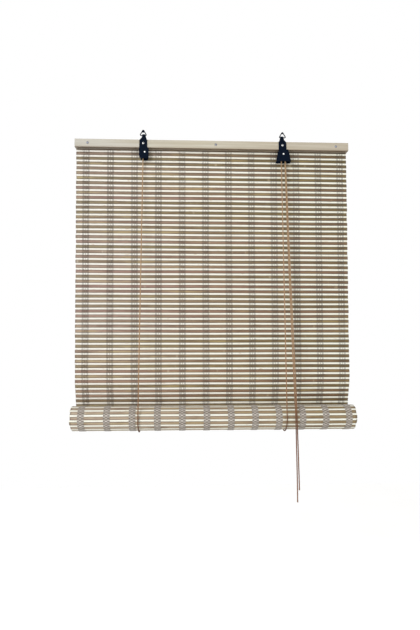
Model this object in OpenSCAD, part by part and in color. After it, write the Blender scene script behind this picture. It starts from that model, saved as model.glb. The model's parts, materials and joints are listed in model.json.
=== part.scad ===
// Wooden roller blind: a mat of thin slats, woven together by bands of yarn, which two lift cords
// roll up from below. It hangs from two wire rings. Millimetres, Z up, X along the headrail and
// +Y towards the wall. The origin lies midway between the two places where the hooks bear.

/* [Mat] */
// Length of a slat, across the blind
slat_l = 603; // [450:1:900]
// Height of a cream slat, before it is fitted to the drop
cream_h = 4.5; // [3.6:0.1:5.6]
// Height of a tan slat, before it is fitted to the drop
tan_h = 6.5; // [5:0.1:8]
// Thickness of a cream slat
cream_t = 2.2; // [1.9:0.1:2.4]
// Thickness of a tan slat
tan_t = 1.7; // [1.4:0.1:1.8]
// Width of the groove between two slats
slat_groove = 0.9; // [0.5:0.1:1.5]
// Thickness that is left where two slats meet
slat_meet = 0.7; // [0.4:0.1:1]
// How much of the first tan slat is held in the headrail
tuck = 5.4; // [4:0.1:5.6]
// From the top of the headrail down to the middle of the roll
roll_drop = 607.5; // [400:0.5:900]
// Height over which the mat sways back to the roll
bend_h = 96; // [70:1:140]
// Share of the sway that bends backwards, before the mat straightens again
bend_share = 0.55; // [0.35:0.05:0.65]

/* [Yarn bands] */
// Number of bands across the blind
band_count = 12; // [6:1:14]
// Width of a band
band_w = 13.6; // [8:0.2:16]
// Strands in a band
strand_count = 4; // [2:1:6]
// Groove between two strands
strand_groove = 0.6; // [0.3:0.1:1]
// Thickness of the yarn on each face of the mat
yarn_t = 0.6; // [0.4:0.1:0.8]
// From the left end of a slat to the middle of the first band
first_band_inset = 22; // [10:0.2:30]
// From the right end of a slat to the middle of the last band
last_band_inset = 16; // [10:0.2:30]
// How far the middle bands stand to the right of even spacing
band_lean = 6; // [0:0.5:10]

/* [Roll] */
// Outer radius of the roll
roll_r = 28; // [22:0.5:40]
// Diameter of the round bottom rail inside the roll
rod_d = 14; // [10:0.5:20]
// Radius that one turn of the mat takes up
turn_pitch = 2.8; // [2.7:0.1:4]
// How far the mat reaches behind its hanging plane at the back of the roll
roll_back = 16; // [4:0.5:20]

/* [Headrail] */
// How far the battens stand past the slats at each end
rail_over = 0.5; // [0:0.5:10]
// Height of the battens
rail_h = 18; // [16:0.5:26]
// Thickness of the front batten, below its rebate
front_batten_t = 11; // [10.5:0.5:16]
// Thickness of the back batten
back_batten_t = 6; // [5:0.5:10]
// Height of the rebate that takes the top of the mat
rebate_h = 6; // [5.8:0.1:6.8]
// Bevel along the battens' edges
batten_bevel = 1; // [0.4:0.1:1.6]
// Cord groove under the front batten, width
cord_groove_w = 3.4; // [3:0.1:4]
// Cord groove under the front batten, depth
cord_groove_h = 3.6; // [3:0.1:4.5]
// How far the blind's middle lies from the middle between the brackets
rail_shift = -0.5; // [-10:0.5:10]
// From the headrail's ends to its outer screws
screw_inset = 28; // [10:1:80]
// Offset of the middle screw from the headrail's middle
middle_screw_x = 6; // [-40:1:40]

/* [Screws] */
// Diameter of a screw's shank
screw_d = 3; // [2.4:0.1:3.6]
// Diameter of a screw's head
screw_head_d = 5.4; // [4.8:0.1:7]
// Height of a screw's head
screw_head_h = 1.4; // [1:0.1:2]
// How deep a screw goes into the back batten
screw_bite = 4; // [2:0.5:4.5]

/* [Brackets] */
// From the middle to each bracket
bracket_x = 153.5; // [110:0.5:200]
// Thickness of the bracket's sheet steel
plate_t = 1.2; // [0.8:0.1:1.6]
// Width of the plate on the batten
plate_w = 17; // [15:0.5:19]
// Width of the neck under the ring
neck_w = 9.6; // [8.4:0.2:11]
// How far a neck stands off its plate's middle, towards the middle of the blind
neck_shift = 1.4; // [0:0.1:1.6]
// Width of the rolled eye at the top of the neck
eye_w = 6.4; // [5:0.2:6.6]
// From the top of the headrail up to the ring's axis
neck_rise = 8.5; // [7:0.5:14]
// Width of the left bracket's pulley housing
housing_w = 21; // [19.6:0.2:26]
// How far the left housing stands to the right of its plate's middle
housing_shift = 1.2; // [0:0.2:1.6]
// How far the left housing reaches below the headrail
housing_h = 24; // [20:0.5:30]
// How far the cord lock reaches below the headrail
lock_h = 26; // [25:0.5:34]
// How far the lock flares out to the right, at its foot
lock_flare = 10; // [9:0.5:13]
// How far the lock steps out to the right under the headrail
lock_shoulder = 4.5; // [3.5:0.5:5]
// How far the lock widens to the left
lock_lean = 4.5; // [1:0.5:5]

/* [Pulleys and lock] */
// From the underside of the headrail down to the pulleys' axles
axle_drop = 10; // [9:0.5:12]
// Diameter of an axle
axle_d = 2.6; // [2:0.1:3]
// Offset of the left axle from the bracket's middle
left_axle_x = 3.2; // [1:0.2:4]
// Offset of the right axle from the bracket's middle
right_axle_x = 2.2; // [1:0.2:3]
// Radius at which a cord's middle goes round a pulley
wrap_r = 4.2; // [3.8:0.1:4.6]
// Radius of a pulley's flange
flange_r = 5; // [4.6:0.1:5.4]
// Width of one pulley groove with its share of flange
groove_pitch = 3.3; // [3:0.1:3.4]
// Diameter of the lock roller
roller_d = 6; // [5:0.2:6.4]
// Travel of the lock roller down its slot
roller_travel = 7; // [3:0.5:7.5]

/* [Hanging rings] */
// Diameter of the ring's wire
wire_d = 2; // [1.6:0.1:2.4]
// Width of the ring, between the middles of its lower corners
ring_w = 15; // [15:0.5:20]
// Height of the ring, from the middle of its base wire to its apex
ring_h = 13; // [12:0.5:18]

/* [Cords] */
// Diameter of the cords
cord_d = 2.2; // [1.8:0.1:2.4]
// Where the left lift cord goes round the roll
left_sling_x = -161; // [-166:0.5:-150]
// Slope of the cord between a pulley and the groove in the batten
cord_slope = 50; // [40:1:60]
// Diameter of a staple's wire
staple_d = 1.2; // [0.8:0.1:1.4]

/* [Clearances] */
// Room between pieces that move past each other
move_gap = 0.3; // [0.2:0.05:0.5]
// Room between pieces that are fitted together
fit_gap = 0.05; // [0.02:0.01:0.1]

/* [Hidden] */
$fn = 48;
cord_r = cord_d / 2;

// Length of the two battens
rail_l = slat_l + 2 * rail_over;

// Depths, front to back: the ring's plane, the batten's faces, the mat and the back batten
batten_front_y = plate_t / 2;
batten_lip_y = batten_front_y + front_batten_t;
mat_half = cream_t / 2;
mat_y = batten_lip_y + fit_gap + yarn_t + mat_half;
back_front_y = mat_y + mat_half + yarn_t + fit_gap;
back_rear_y = back_front_y + back_batten_t;

// Heights, from the hook's seat in the ring down
ring_half_angle = atan(ring_w / 2 / ring_h);
apex_z = wire_d / 2 / sin(ring_half_angle);
knuckle_z = apex_z - ring_h;
rail_top = knuckle_z - neck_rise;
rail_bottom = rail_top - rail_h;
screw_z = rail_top - rail_h / 2;
axle_z = rail_bottom - axle_drop;
roll_z = rail_top - roll_drop;

// The roll: radius at the middle of the outermost turn, and the place of its axis
roll_m = roll_r - mat_half;
roll_y = mat_y + roll_back - roll_m;
turn_k = turn_pitch / (2 * PI);
rod_seat = 0.4;
inner_m = rod_d / 2 + mat_half + rod_seat;

// The sway between the hanging mat and the roll: one arc backwards and one arc down again
bend_angle = 2 * atan(roll_back / bend_h);
back_r = bend_share * bend_h / sin(bend_angle);
down_r = (1 - bend_share) * bend_h / sin(bend_angle);
straight_l = rail_bottom - roll_z - bend_h;
mat_l = straight_l + (back_r + down_r) * bend_angle * PI / 180;

// Slats: the height of a pair is fitted so that a whole number of pairs fills the drop
pair_n = round((tuck + mat_l) / (cream_h + tan_h));
pair_pitch = (tuck + mat_l) / pair_n;
tan_part = pair_pitch * tan_h / (cream_h + tan_h);
slat_n = 2 * pair_n;
rolled_l = (roll_m * roll_m - inner_m * inner_m) / (2 * turn_k);
rolled_n = 2 * floor(rolled_l / pair_pitch);
yarn_turn_n = 2 * floor(2 * PI * (roll_m - turn_pitch) * 0.9 / pair_pitch);

// Yarn bands
band_pitch = (slat_l - first_band_inset - last_band_inset) / (band_count - 1);
strand_w = (band_w - (strand_count - 1) * strand_groove) / strand_count;

// Bore of the rolled eye
eye_r = wire_d / 2 + move_gap;

// Pulley housings, between the front plate and the rear cheek
rivet_tail_h = 0.25;
cheek_front_y = batten_lip_y - plate_t - rivet_tail_h - move_gap;
housing_top = rail_bottom - move_gap;
housing_slope = 2;
left_bottom = rail_bottom - housing_h;
lock_bottom = rail_bottom - lock_h;
wheel_front_y = batten_front_y + move_gap;
wheel_rear_y = cheek_front_y - move_gap;
rear_groove_y = wheel_rear_y - groove_pitch / 2 - fit_gap;
front_groove_y = rear_groove_y - groove_pitch;
groove_r = wrap_r - cord_r - move_gap;
throat = cord_r + 0.25;
bore_gap = 0.15;

// The lock roller, between the pull cords and the slanted wall
flare_angle = atan((lock_flare - lock_shoulder) / lock_h);
roller_r = roller_d / 2;
roller_gap = 0.5;
roller_x = bracket_x + right_axle_x + wrap_r + cord_r + roller_gap + roller_r;
wall_inner_x = bracket_x + plate_w / 2 + lock_shoulder - plate_t / cos(flare_angle);
roller_z = rail_bottom - (roller_x + (roller_r + move_gap) / cos(flare_angle) - wall_inner_x)
    / tan(flare_angle);
trunnion_d = 2.4;

// Cords
sling_r = roll_r + 0.5 + cord_r;
knot_r = 2.1;
staple_z = rail_bottom + 5;
knot_z = staple_z + 5;
back_cord_y = back_rear_y + fit_gap + knot_r;
right_sling_x = bracket_x + right_axle_x - wrap_r;
left_wrap_x = -bracket_x + left_axle_x;
right_wrap_x = bracket_x + right_axle_x;
cross_z = rail_bottom + cord_groove_h - cord_r - move_gap;
slope_rise = cross_z - axle_z - wrap_r * cos(cord_slope);
slope_run = slope_rise / tan(cord_slope);
cord_sides = 8;

// Routes of the two pull cords, from the lock down to the roll and from the roll to their ends
long_upper = [[159.9, 7.8, -48], [160.8, 4.2, -110], [162.4, -2.8, -240], [165, -10.8, -380],
    [167.2, -18.6, -500], [169.2, -25.4, -601], [169.6, -27.6, -626.6]];
long_lower = [[169.6, -27.6, -627], [169.8, -27.8, -642], [170.2, -27.8, -667],
    [170.6, -27.6, -697], [171, -27.4, -727], [171.4, -27.2, -762], [171.6, -27, -802]];
short_upper = [[159.9, 4.5, -48], [161.8, 1.2, -110], [164.2, -5.6, -240], [167.2, -13, -380],
    [170, -19.8, -500], [172, -25.6, -601], [172.2, -27.6, -626.6]];
short_lower = [[172.2, -27.6, -627], [172.6, -27.8, -642], [173.2, -27.8, -667],
    [174, -27.6, -697], [174.6, -27.4, -727], [175.2, -27.2, -752], [175.6, -27, -777]];

// A point of the hanging mat in Y and Z: s runs down from the headrail, off to the front
function mat_point(s, off) =
    let (a = min(max(0, s - straight_l) / back_r * 180 / PI, bend_angle),
         b = max(0, (s - straight_l) * 180 / PI - back_r * bend_angle) / down_r,
         y = mat_y + back_r * (1 - cos(a)) + down_r * (cos(bend_angle - b) - cos(bend_angle)),
         z = rail_bottom - min(s, straight_l) - back_r * sin(a)
            - down_r * (sin(bend_angle) - sin(bend_angle - b)))
    [y - off * cos(a - b), z - off * sin(a - b)];

// A point of the rolled mat in Y and Z: u runs on from the hanging mat, off to the outside
function roll_point(u, off) =
    let (turn = (roll_m - sqrt(roll_m * roll_m - 2 * turn_k * u)) / turn_k,
         r = roll_m - turn_k * turn + off,
         a = -turn * 180 / PI)
    [roll_y + r * cos(a), roll_z + r * sin(a)];

// Where slat i begins, and half its thickness: tan and cream by turns
function slat_s(i) = floor(i / 2) * pair_pitch + (i - 2 * floor(i / 2)) * tan_part;
function half_t(i) = (abs(i) % 2 == 0 ? tan_t : cream_t) / 2;

// Where a line from point p, in Y and Z, touches the circle that the slings follow
function touch_angle(p, side) =
    let (d = p - [roll_y, roll_z])
    atan2(d[1], d[0]) + side * acos(sling_r / norm(d));

function on_sling(a) = [roll_y + sling_r * cos(a), roll_z + sling_r * sin(a)];

function reversed(list) = [for (i = [len(list) - 1:-1:0]) list[i]];

// A polygon drawn in Y and Z, extruded along X from x0
module along_x(x0, length) {
    translate([x0, 0, 0]) rotate([90, 0, 90]) linear_extrude(length) children();
}

// A polygon drawn in X and Z, extruded along Y from y0
module along_y(y0, depth) {
    translate([0, y0 + depth, 0]) rotate([90, 0, 0]) linear_extrude(depth) children();
}

// A round bar along Y
module bar_y(x, y0, y1, z, r) {
    translate([x, y1, z]) rotate([90, 0, 0]) cylinder(h = y1 - y0, r = r);
}

// A round bar between two points
module bar(p, q, r) {
    d = q - p;
    translate(p) rotate([0, acos(d[2] / norm(d)), atan2(d[1], d[0])])
        cylinder(h = norm(d), r = r);
}

// A cord round a pulley, from angle a to angle b, seen from the front
module wrap(x, y, a, b) {
    translate([x, y, axle_z]) rotate([90, 0, 0]) rotate([0, 0, a])
        rotate_extrude(angle = b - a) translate([wrap_r, 0]) circle(r = cord_r);
}

// A pan-head screw that points to the back, its head on the face at y
module screw(x, y) {
    shank = back_front_y + screw_bite - y;
    translate([x, y, screw_z]) rotate([-90, 0, 0]) {
        cylinder(h = shank, d = screw_d);
        rotate_extrude() intersection() {
            translate([0, screw_head_d]) circle(r = screw_head_d + screw_head_h);
            translate([0, -screw_head_h]) square([screw_head_d / 2, screw_head_h]);
        }
    }
}

module screw_bore(x) {
    bar_y(x, batten_front_y - 1, back_front_y + screw_bite + fit_gap, screw_z,
        screw_d / 2 + fit_gap);
}

function rail_screws() = [rail_shift - rail_l / 2 + screw_inset, rail_shift + middle_screw_x,
    rail_shift + rail_l / 2 - screw_inset];

module batten_bores() {
    for (x = concat(rail_screws(), [-bracket_x, bracket_x])) screw_bore(x);
}

module front_batten() {
    b = batten_bevel;
    y0 = batten_front_y;
    lip = batten_lip_y;
    groove_y = rear_groove_y - cord_groove_w / 2;
    color("tan") difference() {
        along_x(rail_shift - rail_l / 2, rail_l) polygon([
            [y0 + b, rail_top], [back_front_y, rail_top],
            [back_front_y, rail_bottom + rebate_h], [lip, rail_bottom + rebate_h],
            [lip, rail_bottom], [groove_y + cord_groove_w, rail_bottom],
            [groove_y + cord_groove_w, rail_bottom + cord_groove_h],
            [groove_y, rail_bottom + cord_groove_h], [groove_y, rail_bottom],
            [y0 + b, rail_bottom], [y0, rail_bottom + b], [y0, rail_top - b]]);
        batten_bores();
    }
}

module back_batten() {
    b = batten_bevel;
    color("burlywood") difference() {
        along_x(rail_shift - rail_l / 2, rail_l) polygon([
            [back_front_y, rail_bottom], [back_rear_y - b, rail_bottom],
            [back_rear_y, rail_bottom + b], [back_rear_y, rail_top - b],
            [back_rear_y - b, rail_top], [back_front_y, rail_top]]);
        batten_bores();
        for (x = [left_sling_x, right_sling_x]) staple_legs(x, fit_gap);
    }
}

module batten_screws() {
    color("silver") for (x = rail_screws()) screw(x, batten_front_y);
}

// Slats side by side as one ridged wall, from the tucked slat down to the roll
module slat_mat() {
    function edge(side) = [for (i = [0:slat_n - 1]) each [
        mat_point(slat_s(i) - tuck, side * slat_meet / 2),
        mat_point(slat_s(i) - tuck + slat_groove / 2, side * half_t(i)),
        mat_point(slat_s(i + 1) - tuck - slat_groove / 2, side * half_t(i))]];
    color("wheat") along_x(rail_shift - slat_l / 2, slat_l)
        polygon(concat(edge(1), reversed(edge(-1))));
}

// A strip of yarn along the hanging mat, from depth a to depth b in front of its middle
module yarn_strip(x0, w, a, b) {
    s = concat([-tuck, straight_l],
        [for (i = [0:slat_n - 2]) if (slat_s(i) - tuck > straight_l) slat_s(i) - tuck]);
    along_x(x0, w) polygon(concat([for (v = s) mat_point(v, a)],
        reversed([for (v = s) mat_point(v, b)])));
}

// Left edge of band k
function band_x(k) = let (t = 2 * k / (band_count - 1) - 1)
    rail_shift - slat_l / 2 + first_band_inset + k * band_pitch + band_lean * (1 - t * t) - band_w / 2;

module front_yarns() {
    face = mat_half + fit_gap / 2;
    color("gray") for (k = [0:band_count - 1]) {
        yarn_strip(band_x(k), band_w, face, face + yarn_t / 2);
        for (j = [0:strand_count - 1])
            yarn_strip(band_x(k) + j * (strand_w + strand_groove), strand_w,
                face + yarn_t / 4, face + yarn_t);
    }
}

module back_yarns() {
    face = mat_half + fit_gap / 2;
    color("gray") for (k = [0:band_count - 1])
        yarn_strip(band_x(k), band_w, -face - yarn_t, -face);
}

// The wound part of the mat: one spiral wall of slats
module rolled_mat() {
    function edge(side) = [for (j = [0:rolled_n - 1]) each [
        roll_point(max(move_gap, slat_s(j)), side * slat_meet / 2),
        roll_point(slat_s(j) + slat_groove / 2, side * half_t(j)),
        roll_point(slat_s(j + 1) - slat_groove / 2, side * half_t(j))]];
    color("wheat") along_x(rail_shift - slat_l / 2, slat_l)
        polygon(concat(edge(1), reversed(edge(-1))));
}

module roll_yarns() {
    face = mat_half + 2 * fit_gap;
    function ring(off) = [for (j = [1:yarn_turn_n]) roll_point(slat_s(j), off)];
    color("gray") for (k = [0:band_count - 1]) along_x(band_x(k), band_w)
        polygon(concat(ring(face), reversed(ring(face + yarn_t))));
}

module bottom_rail() {
    color("tan") translate([rail_shift - slat_l / 2, roll_y, roll_z]) rotate([0, 90, 0])
        cylinder(h = slat_l, d = rod_d);
}

// Where the middle of a bracket's neck stands
function neck_x(x) = x - sign(x) * neck_shift;

// Upper half of a bracket's plate, from the shoulder up to the ring's axis, on the side of s
function plate_top(x, s) = let (m = neck_x(x)) [[x + s * plate_w / 2, rail_bottom + move_gap],
    [x + s * plate_w / 2, rail_top - (plate_w - neck_w) / 4],
    [m + s * neck_w / 2, rail_top + (plate_w - neck_w) / 2],
    [m + s * neck_w / 2, knuckle_z - eye_r - plate_t],
    [m + s * eye_w / 2, knuckle_z - eye_r], [m + s * eye_w / 2, knuckle_z]];

// The plate with its neck rolled into an eye for the ring, and its holes
module bracket_plate(x, axle_x, lower) {
    difference() {
        union() {
            along_y(-plate_t / 2, plate_t)
                polygon(concat(plate_top(x, 1), reversed(plate_top(x, -1)), lower));
            translate([neck_x(x) - eye_w / 2, 0, knuckle_z]) rotate([0, 90, 0])
                cylinder(h = eye_w, r = eye_r + plate_t);
        }
        translate([x - neck_w, 0, knuckle_z]) rotate([0, 90, 0])
            cylinder(h = 2 * neck_w, r = eye_r);
        bar_y(x, -plate_t, plate_t, screw_z, screw_d / 2 + fit_gap);
        bar_y(x + axle_x, -plate_t, plate_t, axle_z, axle_d / 2 + fit_gap);
    }
}

// Left bracket: the plate, folded back on its left side into a cheek behind the pulley
module left_bracket() {
    left = housing_shift - bracket_x - housing_w / 2;
    right = left + housing_w;
    low = left_bottom;
    left_corner = 4.6;
    right_corner = 3;
    chamfer_h = 7;
    foot = [[left, low + chamfer_h], [left + left_corner, low], [right - right_corner, low]];
    color([0.12, 0.15, 0.2]) {
        bracket_plate(-bracket_x, left_axle_x, concat([[left, rail_bottom - housing_slope]], foot,
            [[right, low + chamfer_h], [right, rail_bottom - housing_slope]]));
        along_y(0, cheek_front_y + plate_t) polygon([[left, low + chamfer_h],
            [left + plate_t, low + chamfer_h], [left + plate_t, housing_top - housing_slope],
            [left, housing_top - housing_slope]]);
        difference() {
            along_y(cheek_front_y, plate_t) polygon(concat([[left, housing_top - housing_slope]],
                foot, [[right - plate_t, low + chamfer_h],
                [right - plate_t, housing_top - housing_slope]]));
            bar_y(left_wrap_x, 0, 2 * cheek_front_y, axle_z, axle_d / 2 + fit_gap);
        }
    }
}

// Right bracket: the plate flares into the cord lock, with a slanted wall and a slotted cheek
module right_bracket() {
    x = bracket_x;
    h = plate_w / 2;
    low = lock_bottom;
    wall = plate_t / cos(flare_angle);
    down = [[x - h - lock_lean, low], [x + h + lock_flare, low],
        [x + h + lock_shoulder, housing_top]];
    slot_r = trunnion_d / 2 + move_gap;
    color([0.08, 0.13, 0.18]) {
        bracket_plate(x, right_axle_x, concat([[x - h, rail_bottom]], down, [[x + h, housing_top]]));
        along_y(0, cheek_front_y + plate_t) polygon([
            [x + h + lock_shoulder, housing_top], [x + h + lock_flare, low],
            [x + h + lock_flare - wall, low], [x + h + lock_shoulder - wall, housing_top]]);
        difference() {
            along_y(cheek_front_y, plate_t) polygon(concat([[x - h, housing_top]], down));
            bar_y(x + right_axle_x, 0, 2 * cheek_front_y, axle_z, axle_d / 2 + fit_gap);
            bar_y(roller_x, 0, 2 * cheek_front_y, roller_z, slot_r);
            bar_y(roller_x + roller_travel * sin(flare_angle), 0, 2 * cheek_front_y,
                roller_z - roller_travel * cos(flare_angle), slot_r);
            translate([roller_x, 0, roller_z]) rotate([0, -flare_angle, 0])
                translate([-slot_r, 0, -roller_travel])
                cube([2 * slot_r, 2 * cheek_front_y, roller_travel]);
        }
    }
}

module left_bracket_screw() { color("silver") screw(-bracket_x, -plate_t / 2); }

module right_bracket_screw() { color("silver") screw(bracket_x, -plate_t / 2); }

// An axle rivet with a domed head in front, a peened head behind and a collar up to collar_y
module axle(x, collar_y) {
    head_r = 2.3;
    head_h = 1;
    tail_lip = 0.5;
    collar_lip = 0.9;
    rear = cheek_front_y + plate_t;
    color("silver") {
        bar_y(x, -plate_t / 2, rear, axle_z, axle_d / 2);
        translate([x, -plate_t / 2, axle_z]) rotate([90, 0, 0]) rotate_extrude()
            intersection() {
                translate([0, -2 * head_h]) circle(r = 3 * head_h);
                square([head_r, head_h]);
            }
        bar_y(x, rear, rear + rivet_tail_h, axle_z, axle_d / 2 + tail_lip);
        if (collar_y > batten_front_y)
            bar_y(x, batten_front_y, collar_y, axle_z, axle_d / 2 + collar_lip);
    }
}

module left_axle() { axle(left_wrap_x, rear_groove_y - groove_pitch / 2 - move_gap); }

module right_axle() { axle(right_wrap_x, 0); }

// A pulley with round-bottomed grooves at the given depths
module pulley(x, grooves) {
    first = grooves[0] - groove_pitch / 2;
    thick = len(grooves) * groove_pitch;
    color("dimgray") translate([x, first, axle_z]) rotate([-90, 0, 0]) rotate_extrude()
        difference() {
            translate([axle_d / 2 + bore_gap, 0])
                square([flange_r - axle_d / 2 - bore_gap, thick]);
            for (g = grooves) translate([wrap_r, g - first]) {
                circle(r = wrap_r - groove_r);
                translate([0, -throat]) square([flange_r, 2 * throat]);
            }
        }
}

module left_pulley() { pulley(left_wrap_x, [rear_groove_y]); }

module right_pulley() { pulley(right_wrap_x, [front_groove_y, rear_groove_y]); }

// The roller of the cord lock, with a trunnion in the cheek's slanted slot
module lock_roller() {
    color("gray") {
        bar_y(roller_x, wheel_front_y, wheel_rear_y, roller_z, roller_r);
        bar_y(roller_x, wheel_rear_y, cheek_front_y + plate_t, roller_z, trunnion_d / 2);
    }
}

// A triangle of wire, its base in the rolled eye
module hanging_ring(x) {
    corner_swell = 0.3;
    left = [x - ring_w / 2, 0, knuckle_z];
    right = [x + ring_w / 2, 0, knuckle_z];
    apex = [x, 0, apex_z];
    color([0.2, 0.22, 0.26]) {
        bar(left, right, wire_d / 2);
        bar(left, apex, wire_d / 2);
        bar(right, apex, wire_d / 2);
        for (p = [left, right, apex]) translate(p) sphere(d = wire_d + corner_swell);
    }
}

module left_ring() { hanging_ring(-bracket_x); }

module right_ring() { hanging_ring(bracket_x); }

// The knotted end on the back batten and the run down behind the mat to the roll
module cord_back(x) {
    top = [back_cord_y, knot_z];
    foot = on_sling(touch_angle(top, -1));
    color("tan") {
        translate([x, top[0], top[1]]) sphere(r = knot_r);
        bar([x, top[0], top[1]], [x, foot[0], foot[1]], cord_r);
    }
}

// The stretch of a lift cord that goes round under the roll, from the back run to the front run
module cord_sling(x, front_y) {
    trim = move_gap / sling_r * 180 / PI;
    a = touch_angle([front_y, axle_z], 1) - 360 + trim;
    b = touch_angle([back_cord_y, knot_z], -1) - trim;
    color("tan") translate([x, roll_y, roll_z]) rotate([90, 0, 90]) rotate([0, 0, a])
        rotate_extrude(angle = b - a) translate([sling_r, 0]) circle(r = cord_r);
}

// The run of a lift cord in front of the mat, from the roll up to its pulley
module cord_front(x_low, x_high, y_high) {
    foot = on_sling(touch_angle([y_high, axle_z], 1));
    color("tan") bar([x_low, foot[0], foot[1]], [x_high, y_high, axle_z - move_gap], cord_r);
}

module left_cord_back() { cord_back(left_sling_x); }

module left_cord_sling() { cord_sling(left_sling_x, rear_groove_y); }

module left_cord_front() { cord_front(left_sling_x, left_wrap_x - wrap_r, rear_groove_y); }

module right_cord_back() { cord_back(right_sling_x); }

module right_cord_sling() { cord_sling(right_sling_x, front_groove_y); }

module right_cord_front() { cord_front(right_sling_x, right_sling_x, front_groove_y); }

// A point of a cord's middle on a pulley, seen from the front
function on_pulley(x, a) = [x + wrap_r * cos(a), rear_groove_y, axle_z + wrap_r * sin(a)];

// Over the left pulley, along the groove in the batten and over the right pulley
module cross_cord() {
    steps = 4;
    left_leave = on_pulley(left_wrap_x, 90 + cord_slope);
    right_meet = on_pulley(right_wrap_x, 90 - cord_slope);
    cord_tube(concat(
        [for (i = [0:steps]) on_pulley(left_wrap_x, 180 - i / steps * (90 - cord_slope))],
        [left_leave + [slope_run, 0, slope_rise]], [right_meet + [-slope_run, 0, slope_rise]],
        [for (i = [0:steps]) on_pulley(right_wrap_x, (1 - i / steps) * (90 - cord_slope))]));
}

module right_cord_wrap() { color("tan") wrap(right_wrap_x, front_groove_y, 0, 180); }

function staple_half() = cord_r + 2 * move_gap + staple_d / 2;

module staple_legs(x, gap) {
    for (s = [-1, 1])
        bar_y(x + s * staple_half(), back_rear_y - 4 - gap, back_cord_y + staple_half(), staple_z,
            staple_d / 2 + gap);
}

// Wire staples over the lift cords, below their knots
module cord_staples() {
    crown_y = back_cord_y + staple_half();
    color("silver") for (x = [left_sling_x, right_sling_x]) {
        staple_legs(x, 0);
        bar([x - staple_half(), crown_y, staple_z], [x + staple_half(), crown_y, staple_z],
            staple_d / 2);
        for (s = [-1, 1]) translate([x + s * staple_half(), crown_y, staple_z])
            sphere(d = staple_d);
    }
}

// One side's corners of a tube's ring at point i of a route, square to the route there
function ring_at(route, i) =
    let (last = len(route) - 1,
         d = route[min(i + 1, last)] - route[max(i - 1, 0)],
         w = d / norm(d),
         u = cross([0, 1, 0], w) / norm(cross([0, 1, 0], w)),
         v = cross(w, u))
    [for (j = [0:cord_sides - 1]) let (a = 360 * j / cord_sides)
        route[i] + cord_r * (cos(a) * u + sin(a) * v)];

// A tube swept along a route
module cord_tube(route) {
    n = len(route);
    points = [for (i = [0:n - 1]) each ring_at(route, i)];
    sides = [for (i = [0:n - 2], j = [0:cord_sides - 1])
        let (k = (j + 1) % cord_sides, a = i * cord_sides, b = a + cord_sides)
        [a + j, b + j, b + k, a + k]];
    caps = [[for (j = [0:cord_sides - 1]) j],
        [for (j = [cord_sides - 1:-1:0]) (n - 1) * cord_sides + j]];
    color("tan") polyhedron(points, concat(sides, caps));
}

module long_pull_upper() { cord_tube(long_upper); }

module short_pull_upper() { cord_tube(short_upper); }

module long_pull_lower() { cord_tube(long_lower); }

module short_pull_lower() { cord_tube(short_lower); }

front_batten();
back_batten();
batten_screws();
slat_mat();
front_yarns();
back_yarns();
rolled_mat();
roll_yarns();
bottom_rail();
left_bracket();
left_bracket_screw();
left_axle();
left_pulley();
left_ring();
right_bracket();
right_bracket_screw();
right_axle();
right_pulley();
lock_roller();
right_ring();
left_cord_back();
left_cord_sling();
left_cord_front();
cross_cord();
right_cord_back();
right_cord_sling();
right_cord_front();
right_cord_wrap();
cord_staples();
long_pull_upper();
short_pull_upper();
long_pull_lower();
short_pull_lower();
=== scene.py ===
import json
import math
import bmesh
import bpy
import numpy as np
from mathutils import Matrix, Vector


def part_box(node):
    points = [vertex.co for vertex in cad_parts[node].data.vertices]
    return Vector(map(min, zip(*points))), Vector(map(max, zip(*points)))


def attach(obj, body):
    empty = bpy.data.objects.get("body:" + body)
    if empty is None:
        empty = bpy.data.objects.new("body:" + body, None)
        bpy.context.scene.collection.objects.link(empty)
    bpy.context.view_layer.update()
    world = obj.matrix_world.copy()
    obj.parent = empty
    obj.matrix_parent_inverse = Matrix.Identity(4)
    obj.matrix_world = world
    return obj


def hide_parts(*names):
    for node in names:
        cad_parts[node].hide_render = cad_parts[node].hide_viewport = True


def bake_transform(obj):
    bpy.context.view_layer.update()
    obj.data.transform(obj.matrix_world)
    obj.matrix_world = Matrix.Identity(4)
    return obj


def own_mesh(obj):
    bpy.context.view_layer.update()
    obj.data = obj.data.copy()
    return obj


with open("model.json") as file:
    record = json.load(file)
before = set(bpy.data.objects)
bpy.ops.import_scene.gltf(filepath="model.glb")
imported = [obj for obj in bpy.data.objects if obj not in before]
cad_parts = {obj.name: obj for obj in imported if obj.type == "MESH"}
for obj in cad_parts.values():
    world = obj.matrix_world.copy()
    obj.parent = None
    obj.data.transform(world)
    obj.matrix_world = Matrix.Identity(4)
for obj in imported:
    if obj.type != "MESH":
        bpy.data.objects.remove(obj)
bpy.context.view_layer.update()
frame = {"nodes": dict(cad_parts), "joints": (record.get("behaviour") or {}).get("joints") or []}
joints = {j["name"]: j for j in frame["joints"]}
print("frame:", len(frame["nodes"]), "nodes")


def addObject(name, data):
    obj = bpy.data.objects.new(name, data)
    bpy.context.scene.collection.objects.link(obj)
    return obj


# camera, solved from the corners of the headrail, the brackets, the bands and the roll
camera = dict(place=(-0.0551, -0.9273, -0.5328), turn=(-2.099, -0.169, 2.138), focal=429.8,
              frameHeight=630, centre=(5.21, 42.88), sensor=36.0, clipEnd=100)


def turnMatrix(degrees):  # rotation about a vector, by the vector's length
    v = Vector(degrees) * math.pi / 180
    return np.array(Matrix.Rotation(v.length, 3, v.normalized()))


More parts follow.
